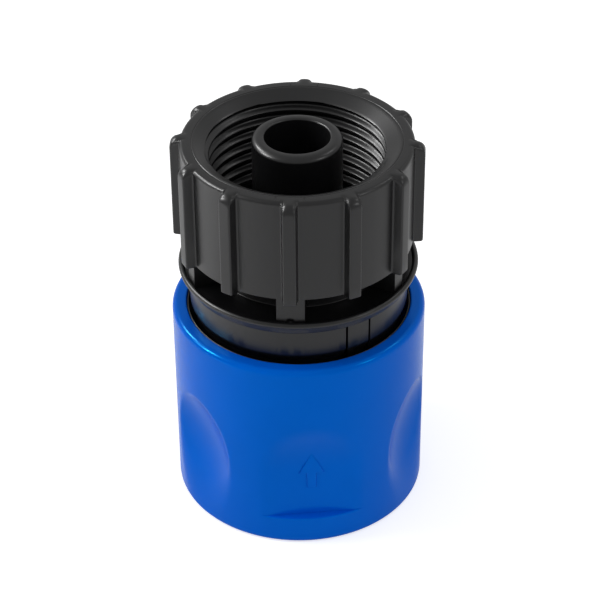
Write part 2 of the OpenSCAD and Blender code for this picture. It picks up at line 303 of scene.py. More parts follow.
# %% Heights
TAIL_PROUD = 0.6
SOCKET_H = 16.1
WINDOW_H = 4.1
FLANGE_H = 1.7
POCKET_DROP = 1.3
FLOOR_T = 2.2
THREAD_STEP_T = 1.5

SLEEVE_H = sleeve_high.z
TAIL_Z = body_high.z
RIM_Z = TAIL_Z - TAIL_PROUD
SOCKET_Z = RIM_Z - SOCKET_H
FLANGE_Z = SOCKET_Z - WINDOW_H
BAND_Z = FLANGE_Z - FLANGE_H
POCKET_Z = BAND_Z - POCKET_DROP
FLOOR_Z = POCKET_Z + FLOOR_T
THREAD_Z = SOCKET_Z + THREAD_STEP_T
print(f"rim at {RIM_Z:.2f} mm, socket's foot at {SOCKET_Z:.2f} mm, flange at {FLANGE_Z:.2f} mm")

# %% [markdown]
# The ribs give wet hands a grip. On the real moulding each one has nearly upright flanks and a
# flat face with small round corners, and a fine fillet joins it to the wall, because a mould tool
# has no knife edges. That fillet makes the dark line beside each rib, so it has points of its own.
# A rib could be a box joined to a cylinder. Here it is a profile of offset and height instead,
# which later lifts the wall's radius, so that the rib and the wall are one skin.

# %% Profile of a rib
RIB_COUNT = 12
RIB_PHASE = -9.5
RIB_PITCH = 360 / RIB_COUNT
RIB_PROUD = 1.45
RIB_BASE = 1.1
RIB_FACE = 0.95
RIB_CORNER = 0.24
RIB_FILLET = 0.25
RIB_PROFILE = [(0.0, RIB_PROUD), (0.35, RIB_PROUD), (0.58, RIB_PROUD)]
RIB_PROFILE += arc(RIB_FACE - RIB_CORNER, RIB_PROUD - RIB_CORNER, RIB_CORNER, 90, 5, 5)
RIB_PROFILE += arc(RIB_BASE + RIB_FILLET, RIB_FILLET, RIB_FILLET, 185, 270, 5)
RIB_PROFILE += [(1.6, 0.0), (2.1, 0.0)]


def across(azimuth, middle, radius):
    """Distance round the circle, in millimetres, from a middle azimuth."""
    return math.radians((azimuth - middle + 180) % 360 - 180) * radius


def turned(offset, radius):
    """The angle, in degrees, that an offset across the axis takes at a radius."""
    return math.degrees(math.asin(offset / radius))


RIB_TURNS = [turned(offset, SOCKET_R + height) for offset, height in RIB_PROFILE]
RIB_HEIGHTS = [height for _, height in RIB_PROFILE]
print(f"a rib takes {2 * turned(RIB_BASE, SOCKET_R):.1f} degrees of the {RIB_PITCH:.0f} between ribs")

# %% [markdown]
# The moulding's outside is described by columns, lines that run from the rim down to the spring's
# pocket, each at its own azimuth. A column knows how high the rib is there, and whether it runs
# down a web, through a slit or past an open window. A web has parallel sides, so the columns at
# its sides keep their distance from its middle where the radius gets smaller.

# %% One column of the moulding
RIB_CROWN = 0.3
TAB_COUNT = 3
TAB_PHASE = 26.5
TAB_ANGLE = 13.7
TAB_AZIMUTHS = [TAB_PHASE + i * 360 / TAB_COUNT for i in range(TAB_COUNT)]


class Column:
    """One line of the moulding from the rim down to the pocket, at one azimuth."""

    def __init__(self, azimuth, kind="open", side=None):
        self.azimuth = azimuth
        self.kind = kind
        self.side = side
        turn = abs((azimuth - RIB_PHASE + RIB_PITCH / 2) % RIB_PITCH - RIB_PITCH / 2)
        self.rib = float(np.interp(turn, RIB_TURNS, RIB_HEIGHTS))
        self.share = self.rib / RIB_PROUD
        outwards = min(turn / turned(RIB_FACE, SOCKET_R + RIB_PROUD), 1.0)
        self.crown = RIB_CROWN * self.share * outwards ** 3
        self.tab = any(abs(across(azimuth, middle, 1)) < math.radians(TAB_ANGLE / 2)
                       for middle in TAB_AZIMUTHS)

    def at(self, radius, z):
        """The point at a radius and a height. A web's side keeps its distance from the middle."""
        azimuth = self.azimuth
        if self.side and radius < SOCKET_R:
            middle, offset = self.side
            azimuth = middle + turned(offset, radius)
        return tuple(on_circle(radius, azimuth, z))


print("rib height in its middle:", Column(RIB_PHASE).rib, "and between ribs:",
      Column(RIB_PHASE + RIB_PITCH / 2).rib)

# %% [markdown]
# Six webs carry the socket over the open windows, a wide one in front and behind, and two narrow
# ones beside each. Three snap tabs lie between pairs of slits in the skirt. At each side of a web
# or slit two columns share one azimuth: one runs on the web or in the slit, the other beside it,
# and the faces between them are that side. A plain column that would fall on such an edge is left
# out.

# %% Columns at the webs, slits and ribs
WEB_WIDE = 4.0
WEB_NARROW = 2.2
WEB_TURN = 63.0
WEB_SHOULDER = 0.3
SLIT_HALF = 0.175
COLUMN_GAP = 0.03
VALLEY_STEPS = (-1.6, -0.8, 0, 0.8, 1.6)


def web_list():
    """Middle azimuth and half width of each web."""
    webs = []
    for side in (0, 180):
        webs.append((RIB_PHASE + side, WEB_WIDE / 2))
        for turn in (-WEB_TURN, WEB_TURN):
            webs.append((RIB_PHASE + side + turn, WEB_NARROW / 2))
    return webs


def edge_columns(webs, slits):
    """The paired columns at the sides of webs and slits, each with its place in the order."""
    columns = []
    for middle, half in webs:
        for s in (-1, 1):
            edge = middle + turned(s * half, SOCKET_R)
            columns.append((edge, s, Column(edge, "web", (middle, s * half))))
            columns.append((edge, 2 * s, Column(edge, "open", (middle, s * half))))
            beyond = middle + turned(s * (half + WEB_SHOULDER), SOCKET_R)
            columns.append((beyond, 0, Column(beyond)))
    for middle in slits:
        for s in (-1, 1):
            edge = middle + turned(s * SLIT_HALF, SOCKET_R)
            columns.append((edge, s, Column(edge, "slit")))
            columns.append((edge, 2 * s, Column(edge)))
    return columns


def rib_azimuths():
    """Azimuths that the ribs' profiles and the wall between them ask for."""
    found = set()
    for i in range(RIB_COUNT):
        middle = RIB_PHASE + i * RIB_PITCH
        found.update(middle + s * turn for turn in RIB_TURNS for s in (-1, 1))
        found.update(middle + RIB_PITCH / 2 + turned(step, SOCKET_R) for step in VALLEY_STEPS)
    return sorted(set(round(azimuth % 360, 6) for azimuth in found))


def outer_columns():
    """All columns of the outside, in their order round the axis."""
    webs = web_list()
    slits = [middle + s * TAB_ANGLE / 2 for middle in TAB_AZIMUTHS for s in (-1, 1)]
    columns = edge_columns(webs, slits)
    taken = [c[0] % 360 for c in columns]
    for azimuth in rib_azimuths():
        if all(abs(across(azimuth, t, SOCKET_R)) > COLUMN_GAP for t in taken):
            in_web = any(abs(across(azimuth, m, SOCKET_R)) < w for m, w in webs)
            in_slit = any(abs(across(azimuth, m, SOCKET_R)) < SLIT_HALF for m in slits)
            kind = "web" if in_web else "slit" if in_slit else "open"
            columns.append((azimuth, 0, Column(azimuth, kind)))
    columns.sort(key=lambda c: (round(c[0] % 360, 6), c[1]))
    return [c[2] for c in columns]


columns = outer_columns()
print(f"{len(columns)} columns round the moulding")

# %% [markdown]
# Each column becomes one path, and all paths have as many points, so that they can be joined. The
# first part runs over the rim's flat top and down the wall. Where there is a rib, the same points
# stand further out and take a wide curve at the top, which gives the rib its round nose.

# %% Path down the wall of the socket
RIM_ROUND = 0.6
RIM_LAND = 0.35
RIM_FLAT_R = LEAD_IN_R + RIM_LAND
RIM_MIDDLE = 1.1
RIB_ROUND = 1.35
FOOT_ROUND = 0.22


def wall_path(column):
    """From the rim's flat top to the socket's lower edge, over the rib's rounded top end."""
    edge = SOCKET_R + column.rib
    bend = RIM_ROUND + (RIB_ROUND - RIM_ROUND) * column.share
    path = [(RIM_FLAT_R, RIM_Z), (SOCKET_R - RIM_MIDDLE, RIM_Z), (SOCKET_R - RIM_ROUND, RIM_Z)]
    path += arc(edge - bend, RIM_Z - column.crown - bend, bend, 90, 0, 8)
    low = SOCKET_Z + FOOT_ROUND
    path += line(edge, path[-1][1], edge, low, 9)[1:]
    for angle in (30, 60, 90):
        back = FOOT_ROUND * (1 - math.cos(math.radians(angle)))
        if column.kind == "web":
            back = min(back, column.rib)
        path.append((edge - back, SOCKET_Z + FOOT_ROUND * (1 - math.sin(math.radians(angle)))))
    return path


print("the wall's path has", len(wall_path(columns[0])), "points")

# %% [markdown]
# Between the webs the path turns in under the socket, runs down the neck and comes out again over
# the flange. In a web it goes straight down instead. The front web also has the small round dent
# that the gate leaves, the place where the melt flowed into the mould.

# %% Path past the windows or down a web
NECK_FILLET = 0.12
GATE_R = 0.42
GATE_DEPTH = 0.3


def window_path(column):
    """From the socket's lower edge to the flange's bead, round the window or down a web."""
    inner = NECK_R + NECK_FILLET
    open_path = line(SOCKET_R - FOOT_ROUND, SOCKET_Z, inner, SOCKET_Z, 4)
    open_path += arc(inner, SOCKET_Z - NECK_FILLET, NECK_FILLET, 90, 180, 4)[1:]
    open_path += line(NECK_R, SOCKET_Z - NECK_FILLET, NECK_R, FLANGE_Z + NECK_FILLET, 5)[1:]
    open_path += arc(inner, FLANGE_Z + NECK_FILLET, NECK_FILLET, 180, 270, 4)[1:]
    open_path += line(inner, FLANGE_Z, SOCKET_R, FLANGE_Z, 4)[1:]
    if column.kind != "web":
        return open_path
    path = line(SOCKET_R, SOCKET_Z, SOCKET_R, FLANGE_Z, len(open_path) - 1)
    gate_x = across(column.azimuth, RIB_PHASE, SOCKET_R)
    dented = []
    for r, z in path:
        away = math.hypot(gate_x, z - FLANGE_Z - BEAD_R)
        dented.append((r - GATE_DEPTH * max(0.0, 1 - (away / GATE_R) ** 4), z))
    return dented


print("the window's path has", len(window_path(columns[0])), "points")

# %% [markdown]
# The flange ends in a thin round bead, which shows as a bright line across the connector. Below it
# the skirt gets narrower just above the sleeve, and at the tabs it ends in hooks with a slope, over
# which the ring snaps on. A column in a slit cuts through the skirt's wall instead.

# %% Path over the flange and down the skirt
BEAD_END = -95
BEAD_STEPS = 12
FLANGE_ROUND = 0.2
SKIRT_EDGE = 0.15
TAPER_DROP = 0.5
TAPER_H = 1.5
TAPER_SOFT = 0.3
TAPER_Z = SLEEVE_H - TAPER_DROP
SLIT_STOP = 0.4
SLIT_TOP = BAND_Z - SLIT_STOP
SLIT_PAST = 0.3
SLIT_DEEP_R = SKIRT_IN_R - SLIT_PAST
HOOK_SEAT = 0.1
HOOK_H = 1.6
HOOK_SLOPE_H = 0.9
HOOK_TOP = ring_low.z - HOOK_SEAT
HOOK_Z = HOOK_TOP - HOOK_H
SKIRT_REACH = 0.25
SKIRT_Z = HOOK_Z - SKIRT_REACH


def flange_path():
    """Over the bead, down the flange's edge and in to the skirt."""
    path = arc(FLANGE_R, FLANGE_Z, BEAD_R, 180, BEAD_END, BEAD_STEPS)
    path += arc(FLANGE_FOOT_R - FLANGE_ROUND, BAND_Z + FLANGE_ROUND, FLANGE_ROUND, 0, -90, 4)
    path += line(FLANGE_FOOT_R - 0.25, BAND_Z, SKIRT_TOP_R + SKIRT_EDGE, BAND_Z, 1)
    path += arc(SKIRT_TOP_R + SKIRT_EDGE, BAND_Z - SKIRT_EDGE, SKIRT_EDGE, 90, 180, 3)[1:]
    return path


def skirt_r(z):
    """Outer radius of the skirt, which widens just above the sleeve's top."""
    share = smooth_max(0.0, smooth_min(1.0, (z - TAPER_Z) / TAPER_H, TAPER_SOFT), TAPER_SOFT)
    return SKIRT_FOOT_R + (SKIRT_TOP_R - SKIRT_FOOT_R) * share


def skirt_path(column):
    """Down the outside of the skirt, round its foot and up the inside to the pocket's roof."""
    hook = HOOK_R if column.tab else SKIRT_FOOT_R
    heights = [SLIT_TOP, SLIT_TOP - 1.5]
    heights += list(np.linspace(TAPER_Z + TAPER_H + 0.2, TAPER_Z - 0.2, 8))
    down = [(skirt_r(z), z) for z in heights]
    down += [(SKIRT_FOOT_R, HOOK_TOP)]
    down += [(hook - (SKIRT_EDGE if column.tab else 0), HOOK_TOP), (hook, HOOK_TOP - SKIRT_EDGE)]
    down += [(hook, HOOK_Z + HOOK_SLOPE_H), (SKIRT_FOOT_R, HOOK_Z)]
    down += [(SKIRT_FOOT_R, SKIRT_Z + SKIRT_EDGE), (SKIRT_FOOT_R - SKIRT_EDGE, SKIRT_Z)]
    down += [(SKIRT_IN_R + SKIRT_EDGE, SKIRT_Z), (SKIRT_IN_R, SKIRT_Z + SKIRT_EDGE)]
    down += line(SKIRT_IN_R, SKIRT_Z + 1, SKIRT_IN_R, POCKET_Z, 6)
    if column.kind != "slit":
        return down + [(SLIT_DEEP_R - SLIT_PAST, POCKET_Z)]
    return slit_path(len(down)) + [(SLIT_DEEP_R - SLIT_PAST, POCKET_Z)]


def slit_path(count):
    """In through the skirt's wall at the slit's upper end, and down to the pocket's roof."""
    start = skirt_r(SLIT_TOP)
    inward, downward = start - SLIT_DEEP_R, SLIT_TOP - POCKET_Z
    cut = []
    for i in range(count):
        run = (inward + downward) * i / (count - 1)
        cut.append((start - min(run, inward), SLIT_TOP - max(run - inward, 0.0)))
    return cut


def outer_rings(shell):
    """The rings from the rim down to the pocket, one point per column."""
    paths = [wall_path(c) + window_path(c) + flange_path() + skirt_path(c) for c in columns]
    rings = []
    for k in range(len(paths[0])):
        rings.append(shell.ring([c.at(*path[k]) for c, path in zip(columns, paths)]))
    return rings


print(f"skirt from {SKIRT_Z:.2f} mm to the flange's foot at {BAND_Z:.2f} mm")

# %% [markdown]
# The socket is threaded inside, for the hose's collar or a tap. A screw thread could be swept as
# a separate helix, but in a moulding it is one skin with the wall. So the wall's radius is a
# formula here: going once round the axis moves the thread up by one pitch. The lead-in at the top
# is a smooth cone that cuts the first turns away, as it does in the real mould, and it ends in a
# thin rounded lip with a fine groove behind it, which draws a line round the rim.

# %% Inside of the socket with its thread
THREAD_PITCH = 1.814
THREAD_DEPTH = 0.78
THREAD_CREST_R = THREAD_ROOT_R - THREAD_DEPTH
THREAD_PHASE = 0.35
CREST_HALF = 0.17
FLANK = 0.46
CREST_SOFT = 0.2
ROOT_SOFT = 0.3
INNER_COLUMNS = 160
ROWS_PER_PITCH = 18
LEAD_IN_DEPTH = 0.8
CONE_SOFT = 0.12
LIP_DROP = 0.13
LIP_PATH = [(-0.17, -0.1), (-0.07, -0.055), (0.03, -0.035),
            (0.11, -0.03), (0.19, -0.1), (0.3, 0.0)]
FLOOR_MIDDLE_R = 8.5
FLOOR_FILLET = 0.4
STEP_ROUND = 0.2


def thread_r(azimuth, z):
    """Radius of the threaded wall: narrow crests, flanks of a pipe thread and rounded roots."""
    turn = (z / THREAD_PITCH - azimuth / 360 + THREAD_PHASE) % 1.0
    away = min(turn, 1 - turn) * THREAD_PITCH
    depth = smooth_min(1.0, smooth_max(0.0, (away - CREST_HALF) / FLANK, CREST_SOFT), ROOT_SOFT)
    return THREAD_CREST_R + (THREAD_ROOT_R - THREAD_CREST_R) * depth


def floor_path():
    """From the socket's floor up inside the neck to the step under the thread."""
    path = [(FLOOR_MIDDLE_R, FLOOR_Z), (NECK_IN_R - 0.5, FLOOR_Z)]
    path += arc(NECK_IN_R - FLOOR_FILLET, FLOOR_Z + FLOOR_FILLET, FLOOR_FILLET, -90, 0, 3)
    path += [(NECK_IN_R, THREAD_Z - 0.3)]
    path += arc(NECK_IN_R + STEP_ROUND, THREAD_Z - STEP_ROUND, STEP_ROUND, 180, 90, 3)
    return path + [(THREAD_CREST_R - 0.1, THREAD_Z)]


def socket_rings(shell):
    """The rings from the floor of the socket up its threaded wall to the rim."""
    turns = even_turns(INNER_COLUMNS)
    rings = shell.turn(floor_path(), turns)
    top = RIM_Z - LIP_DROP
    steps = int((top - THREAD_Z) / THREAD_PITCH * ROWS_PER_PITCH)
    for i in range(1, steps + 1):
        z = THREAD_Z + (top - THREAD_Z) * i / steps
        cone = LEAD_IN_R - (RIM_Z - z) * (LEAD_IN_R - THREAD_ROOT_R) / LEAD_IN_DEPTH
        points = [tuple(on_circle(smooth_max(thread_r(a, z), cone, CONE_SOFT), a, z)) for a in turns]
        rings.append(shell.ring(points))
    return rings + shell.turn([(LEAD_IN_R + r, RIM_Z + z) for r, z in LIP_PATH], turns)


print(f"{(RIM_Z - THREAD_Z) / THREAD_PITCH:.1f} turns of thread, {THREAD_DEPTH} mm deep")

# %% [markdown]
# The barrel below takes the plug of a spray gun or sprinkler, and the hose tail stands in the
# socket. Both are one run of rings: down outside the barrel, up through its bore and the water
# way, over the tail's round lip and down its outside. Four windows in the barrel let the claws
# through. Their edges run parallel, so those columns keep their distance from the window's middle.

# %% Columns of the barrel
PLUG_R = 9.2
CLAW_HALF = (claw_high.x - claw_low.x) / 2
WINDOW_GAP = 0.2
WINDOW_HALF = CLAW_HALF + WINDOW_GAP
WINDOW_LOW = claw_low.z - WINDOW_GAP
WINDOW_HIGH = claw_high.z + WINDOW_GAP
WINDOW_ROWS = 4
WINDOW_FACES = 4
QUARTERS = (0, 90, 180, 270)
BETWEEN_WINDOWS = range(24, 68, 4)


def barrel_columns():
    """Azimuth and, beside a window, the fixed offset of each column of the barrel."""
    found = []
    for quarter in QUARTERS:
        for offset in (-WINDOW_HALF, -WINDOW_HALF / 2, 0.0, WINDOW_HALF / 2, WINDOW_HALF):
            found.append((quarter, offset))
        found += [(quarter + a, None) for a in BETWEEN_WINDOWS]
    return sorted(found, key=lambda c: (c[0] + (turned(c[1], PLUG_R) if c[1] else 0)) % 360)


print(f"{len(barrel_columns())} columns, windows {2 * WINDOW_HALF:.1f} mm wide")

# %% [markdown]
# The outline of the barrel is a list of radii and heights. It also tells where the windows start
# outside and inside, because no faces are made there.

# %% Outline of the barrel, the water way and the tail
BARREL_R = 12.2
BARREL_FOOT_ROUND = 0.3
SEAT_R = 7.7
WATER_R = 4.7
TAIL_R = 6.5
TAIL_ROUND = 1.1
TAIL_ROUND_H = 0.8
TAIL_BORE_ROUND = 0.3
TAIL_FILLET = 0.5
POCKET_FILLET = 0.4
MOUTH_Z = body_low.z
MOUTH_BEVEL = 1.0
PLUG_DEPTH = 16.2
SEAT_LEN = 12
SEAT_Z = MOUTH_Z + PLUG_DEPTH
SEAT_TOP = SEAT_Z + SEAT_LEN
BARREL_LEVELS = (30, 24, 18, 14)
WATER_LEVELS = (38, 46, 54, TAIL_Z - TAIL_BORE_ROUND)
TAIL_LEVELS = (56, 52, 48, 44, 40, FLOOR_Z + TAIL_FILLET)


def barrel_path():
    """The outline down the barrel and up through it, and where the windows start in it."""
    window = list(np.linspace(WINDOW_HIGH, WINDOW_LOW, WINDOW_ROWS + 1))
    down = arc(BARREL_R + POCKET_FILLET, POCKET_Z - POCKET_FILLET, POCKET_FILLET, 90, 180, 3)
    down += [(BARREL_R, z) for z in BARREL_LEVELS]
    first = len(down)
    down += [(BARREL_R, z) for z in window]
    down += [(BARREL_R, z) for z in (3.5, MOUTH_Z + BARREL_FOOT_ROUND)]
    down += arc(BARREL_R - BARREL_FOOT_ROUND, MOUTH_Z + BARREL_FOOT_ROUND, BARREL_FOOT_ROUND, 0, -90, 3)[1:]
    down += [(PLUG_R + MOUTH_BEVEL + 0.15, MOUTH_Z), (PLUG_R + MOUTH_BEVEL - 0.05, MOUTH_Z + 0.08)]
    down += [(PLUG_R + 0.1, MOUTH_Z + MOUTH_BEVEL - 0.1), (PLUG_R, MOUTH_Z + MOUTH_BEVEL + 0.1)]
    down += [(PLUG_R, 3.9)]
    second = len(down)
    down += [(PLUG_R, z) for z in reversed(window)]
    down += [(PLUG_R, 13), (PLUG_R, SEAT_Z - PLUG_R + SEAT_R), (SEAT_R, SEAT_Z), (SEAT_R, SEAT_TOP)]
    return down + water_path(), first, second


def water_path():
    """Up the water way, over the tail's lip and down its outside to the socket's floor."""
    path = [(WATER_R, SEAT_TOP + SEAT_R - WATER_R)]
    path += [(WATER_R, z) for z in WATER_LEVELS]
    path += arc(WATER_R + TAIL_BORE_ROUND, TAIL_Z - TAIL_BORE_ROUND, TAIL_BORE_ROUND, 180, 90, 4)[1:]
    path += [(TAIL_R - TAIL_ROUND + r, TAIL_Z - TAIL_ROUND_H + z * TAIL_ROUND_H / TAIL_ROUND)
             for r, z in arc(0, 0, TAIL_ROUND, 90, 0, 8)]
    path += [(TAIL_R, z) for z in TAIL_LEVELS]
    return path + arc(TAIL_R + TAIL_FILLET, FLOOR_Z + TAIL_FILLET, TAIL_FILLET, 180, 270, 4)[1:]


print("the barrel's outline has", len(barrel_path()[0]), "points")

# %% [markdown]
# A window is cut by leaving out its faces in the outer and in the inner wall. Faces through the
# wall then close its upper and lower edge and its two sides, as if the hole had been cut by a
# boolean, but with no stray triangles round it.

# %% Rings of the barrel with its windows
def wall_through(shell, outer, inner, run):
    """The four inner sides of a window, between the outer and the inner wall of the barrel."""
    for i, k in zip(run, run[1:]):
        for row in (0, WINDOW_ROWS):
            shell.faces.append((outer[row][i], outer[row][k], inner[row][k], inner[row][i]))
    for i in (run[0], run[-1]):
        for row in range(WINDOW_ROWS):
            below = row + 1
            shell.faces.append((outer[row][i], outer[below][i], inner[below][i], inner[row][i]))


def barrel_rings(shell):
    found = barrel_columns()
    path, first, second = barrel_path()
    rings = []
    for r, z in path:
        points = []
        for azimuth, offset in found:
            turn = turned(offset, max(r, PLUG_R)) if offset else 0.0
            points.append(tuple(on_circle(r, azimuth + turn, z)))
        rings.append(shell.ring(points))
    lefts = [i for i, c in enumerate(found) if c[1] == -WINDOW_HALF]
    covered = [(i + k) % len(found) for i in lefts for k in range(WINDOW_FACES)]
    for k, (a, b) in enumerate(zip(rings, rings[1:])):
        in_window = first <= k < first + WINDOW_ROWS or second <= k < second + WINDOW_ROWS
        shell.sew(a, b, covered if in_window else ())
    outer = rings[first:first + WINDOW_ROWS + 1]
    inner = rings[second:second + WINDOW_ROWS + 1][::-1]
    for left in lefts:
        wall_through(shell, outer, inner, [(left + k) % len(found) for k in range(WINDOW_FACES + 1)])
    return rings


# %% [markdown]
# The moulding is now sewn together from three runs of rings: the inside of the socket, the outside
# from the rim to the spring's pocket, and the barrel with the water way and the tail. Where one
# run ends the next begins, so that the whole part is one closed skin with no open edges.

# %% Join the moulding
def make_body():
    shell = Shell()
    inside = socket_rings(shell)
    outside = outer_rings(shell)
    barrel = barrel_rings(shell)
    shell.rows(inside)
    shell.rows(outside)
    shell.sew(inside[-1], outside[0])
    shell.sew(outside[-1], barrel[0])
    shell.sew(barrel[-1], inside[0])
    mesh = shell.mesh("hose_moulding")
    piece = place_piece("hose_moulding", mesh, "body", ["body"])
    even_normals(piece)
    return piece


moulding = make_body()

# %% [markdown]
# The sleeve is what the fingers pull back. Its outside is a cylinder with thumb scoops and two
# flat recesses that carry an arrow. All of them are cut by simple tools in the mould: a ball and a
# flat with a curved run-out. So the outer radius is again a formula: the smallest of what the
# cylinder, the ball and the flat allow, with the edges between them slightly rounded. The scoops
# fade softly into the sleeve at their lower end, where the edge is rounded over a longer way.

# %% Radius of the sleeve's outside
RECESS_COUNT = 6
ARROW_EVERY = 3
SCOOP_Z = 12.3
BALL_R = 19.5
SCOOP_DEPTH = 2.3
ARCH_DEPTH = 1.35
LEDGE_Z = 4.6
LEDGE_ROUND = 0.2
BEND_Z = 13.0
ARCH_TOP_Z = 20.9
EDGE_REACH = 0.14
ARCH_REACH = 3 * EDGE_REACH
FADE_SLOPE = 0.2
BALL_MIDDLE = SLEEVE_R - SCOOP_DEPTH + BALL_R
BEND_RUN = ARCH_TOP_Z - BEND_Z
BEND_R = (BEND_RUN ** 2 + ARCH_DEPTH ** 2) / (2 * ARCH_DEPTH)
UNCUT = 2 * SLEEVE_R


def scoop_r(turn, z):
    """Radius at which a line from the axis meets the ball that cuts a scoop."""
    level = BALL_R ** 2 - (z - SCOOP_Z) ** 2
    side = BALL_MIDDLE * math.sin(math.radians(turn))
    if level <= side ** 2:
        return UNCUT
    return BALL_MIDDLE * math.cos(math.radians(turn)) - math.sqrt(level - side ** 2)


def arch_floor(z):
    """Distance of the arrow recess's floor from the axis."""
    rise = max(z - BEND_Z, 0.0)
    if rise >= BEND_R:
        return UNCUT
    return SLEEVE_R - ARCH_DEPTH + BEND_R - math.sqrt(BEND_R ** 2 - rise ** 2)


def sleeve_r(azimuth, z, above_ledge):
    """Outer radius of the sleeve. The recess exists only above its ledge."""
    pitch = 360 / RECESS_COUNT
    number = round(azimuth / pitch)
    turn = azimuth - number * pitch
    if number % ARROW_EVERY:
        reach = EDGE_REACH + FADE_SLOPE * max(SCOOP_Z - z, 0.0)
        return smooth_min(SLEEVE_R, scoop_r(turn, z), reach)
    floor = arch_floor(z) / math.cos(math.radians(turn))
    if above_ledge:
        return smooth_min(SLEEVE_R, floor, ARCH_REACH)
    corner = max(z - LEDGE_Z + LEDGE_ROUND, 0.0) / LEDGE_ROUND
    worn = LEDGE_ROUND * (1 - math.sqrt(max(1 - corner ** 2, 0.0)))
    return SLEEVE_R - min(worn, max(SLEEVE_R - floor, 0.0))


print(f"scoop {SLEEVE_R - sleeve_r(60, SCOOP_Z, True):.2f} mm deep in its middle")

# %% [markdown]
# The ledge under an arrow is a step in that formula. So the rings come twice at the ledge's
# height, once with the full radius and once with the recess's, and the faces between those two
# rings are the ledge. Just below it a few close rings round its edge.

# %% Rings of the sleeve's outside
SLEEVE_TOP_ROUND = 0.9
SLEEVE_FOOT_ROUND = 0.7
SLEEVE_COLUMNS = 420
SLEEVE_STEP = 0.3
LEDGE_EDGE_DROPS = (0.14, 0.08, 0.03, 0.0)


def sleeve_rows():
    """Heights of the sleeve's outer rings, with the ledge as a double one."""
    low, high = SLEEVE_FOOT_ROUND, SLEEVE_H - SLEEVE_TOP_ROUND
    below = list(np.linspace(low, LEDGE_Z - LEDGE_ROUND, 14))
    below += [LEDGE_Z - drop for drop in LEDGE_EDGE_DROPS]
    above = [LEDGE_Z, LEDGE_Z + 0.12]
    above += list(np.linspace(LEDGE_Z + 0.3, high, int((high - LEDGE_Z) / SLEEVE_STEP)))
    return [(z, False) for z in below] + [(z, True) for z in above]


def sleeve_outside(shell):
    turns = even_turns(SLEEVE_COLUMNS)
    foot = arc(SLEEVE_R - SLEEVE_FOOT_ROUND, SLEEVE_FOOT_ROUND, SLEEVE_FOOT_ROUND, -90, 0, 6)
    top = arc(SLEEVE_R - SLEEVE_TOP_ROUND, SLEEVE_H - SLEEVE_TOP_ROUND, SLEEVE_TOP_ROUND, 0, 90, 8)
    rings = shell.turn(foot[:-1], turns)
    for z, above in sleeve_rows():
        rings.append(shell.ring([tuple(on_circle(sleeve_r(a, z, above), a, z)) for a in turns]))
    return rings + shell.turn(top[1:], turns)


print(len(sleeve_rows()), "rings between the sleeve's rounded ends")

# %% [markdown]
# Inside, the sleeve has a lip over the ring, a bore for the ring, a step, a bore for the spring
# with the ledge that carries it, and the cone that pushes the claws in. These are plain turned
# forms that are hardly seen, so straight lines between few points are enough.

# %% Inside of the sleeve
SLIDE_GAP = 0.25
SLIDE_R = BARREL_R + SLIDE_GAP
WEDGE_SLOPE = 0.3125
COLLAR_H = 1.6
CONE_TOP = claw_high.z + 0.2
CONE_FOOT_R = SLIDE_R + WEDGE_SLOPE * (CONE_TOP - COLLAR_H)
GUIDE_LEN = 2.5
SPRING_LEDGE_Z = CONE_TOP + GUIDE_LEN
SPRING_BORE_R = 14.9
STEP_Z = 23.5
LIP_H = 1.0
LIP_Z = SLEEVE_H - LIP_H
LIP_ROUND = 0.25
COLLAR_ROUND = 0.3
SLEEVE_INNER_COLUMNS = 120


def sleeve_inside(shell):
    path = [(SLEEVE_MOUTH_R + 0.35, SLEEVE_H)]
    path += arc(SLEEVE_MOUTH_R + LIP_ROUND, SLEEVE_H - LIP_ROUND, LIP_ROUND, 90, 180, 4)
    path += [(SLEEVE_MOUTH_R, LIP_Z), (RING_BORE_R, LIP_Z), (RING_BORE_R, STEP_Z)]
    path += [(SPRING_BORE_R, STEP_Z), (SPRING_BORE_R, SPRING_LEDGE_Z), (SLIDE_R, SPRING_LEDGE_Z)]
    path += [(SLIDE_R, CONE_TOP), (CONE_FOOT_R, COLLAR_H), (SLIDE_R, COLLAR_H)]
    path += [(SLIDE_R, COLLAR_ROUND)]
    path += arc(SLIDE_R + COLLAR_ROUND, COLLAR_ROUND, COLLAR_ROUND, 180, 270, 3)[1:]
    return shell.turn(path, even_turns(SLEEVE_INNER_COLUMNS))


print(f"cone from radius {SLIDE_R:.2f} mm to {CONE_FOOT_R:.2f} mm")

# %% [markdown]
# The arrow tells which way to pull. It is a low plate with its edges rounded by the mould. A
# bevelled plate in the same piece keeps its outline crisp, which rings of points couldn't do.
# Each layer of the plate is its outline, drawn in a little more than the layer below.

# %% Arrows in the two flat recesses
ARROW_FOOT_Z = 9.7
ARROW_H = 6.6
ARROW_W = 3.8
ARROW_SHAFT_SHARE = 0.39
ARROW_SHOULDER_SHARE = 0.41
ARROW_PROUD = 0.25
ARROW_BEVEL = 0.16
ARROW_SUNK = 0.3
BEVEL_MIDDLE = 0.35
HEAD_INSET = 1.9
TIP_INSET = 2.2


def arrow_outline(inset):
    """Half widths and heights of the arrow, drawn in by a small inset."""
    shaft = ARROW_W * ARROW_SHAFT_SHARE / 2 - inset
    head = ARROW_W / 2 - inset * HEAD_INSET
    shoulder = ARROW_H * ARROW_SHOULDER_SHARE + inset
    tip = ARROW_H - inset * TIP_INSET
    return [(-shaft, inset), (shaft, inset), (shaft, shoulder), (head, shoulder), (0.0, tip),
            (-head, shoulder), (-shaft, shoulder)]


def facing(x, depth, z, azimuth):
    """The point beside, out and up from the axis, seen along an azimuth."""
    angle = math.radians(azimuth)
    return (x * math.cos(angle) + depth * math.sin(angle),
            x * math.sin(angle) - depth * math.cos(angle), z)


